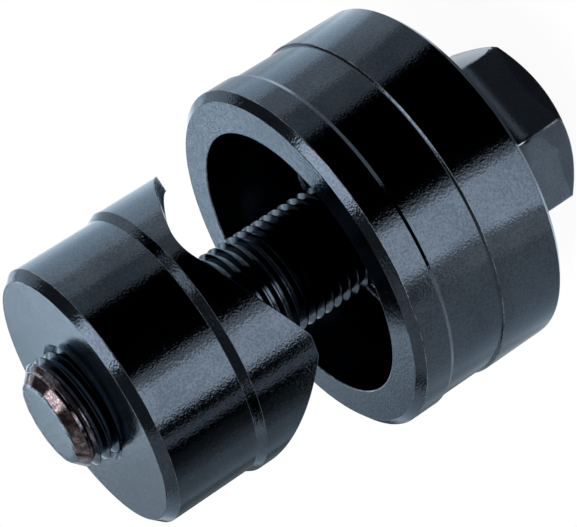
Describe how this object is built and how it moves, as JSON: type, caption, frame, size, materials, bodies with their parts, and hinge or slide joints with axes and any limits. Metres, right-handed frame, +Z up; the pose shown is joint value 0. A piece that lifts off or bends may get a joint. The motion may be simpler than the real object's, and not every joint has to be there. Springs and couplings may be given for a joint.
{
  "type": "sheet metal hole punch",
  "caption": "Screw-drawn hole punch for sheet metal: a cupped die, a punch with a pointed cutting crown, and a hexagon-headed draw screw that pulls the punch into the die.",
  "frame": {"origin": "centre of the hexagon head's end face, at the bottom, on which the tool stands", "axes": "+Z up along the draw screw, from its head through the die to the punch; one point of the punch's crown lies towards +X"},
  "size_m": [0.053, 0.053, 0.0822],
  "materials": {
    "die": "blackened turned tool steel",
    "punch": "blackened turned tool steel",
    "draw_screw": "blackened steel, with light rust on the free end",
    "bearing_steel": "ground and polished bearing steel",
    "cage_steel": "pressed steel strip"
  },
  "bodies": {
    "die_unit": {"die": "die", "housing_washer": "bearing_steel"},
    "screw_unit": {"draw_screw": "draw_screw", "shaft_washer": "bearing_steel"},
    "ball_set": {"ball_cage": "cage_steel", "ball_01": "bearing_steel", "ball_02": "bearing_steel", "ball_03": "bearing_steel", "ball_04": "bearing_steel", "ball_05": "bearing_steel", "ball_06": "bearing_steel", "ball_07": "bearing_steel", "ball_08": "bearing_steel", "ball_09": "bearing_steel", "ball_10": "bearing_steel", "ball_11": "bearing_steel", "ball_12": "bearing_steel", "ball_13": "bearing_steel", "ball_14": "bearing_steel"},
    "punch_unit": {"punch": "punch"}
  },
  "joints": [
    {"name": "screw_turn", "type": "hinge", "parent": "die_unit", "child": "screw_unit", "pos_m": [0, 0, 0.005], "axis": [0, 0, 1], "range_deg": [-1440, 6000]},
    {"name": "cage_turn", "type": "hinge", "parent": "die_unit", "child": "ball_set", "pos_m": [0, 0, 0.0145], "axis": [0, 0, 1], "range_deg": [-720, 3000]},
    {"name": "punch_draw", "type": "slide", "parent": "die_unit", "child": "punch_unit", "axis": [0, 0, -1], "range_m": [-0.006, 0.025]}
  ],
  "couplings": [
    {"joint": "punch_draw", "follows": "screw_turn", "m_per_rad": 0.00023873},
    {"joint": "cage_turn", "follows": "screw_turn", "ratio": 0.5}
  ]
}
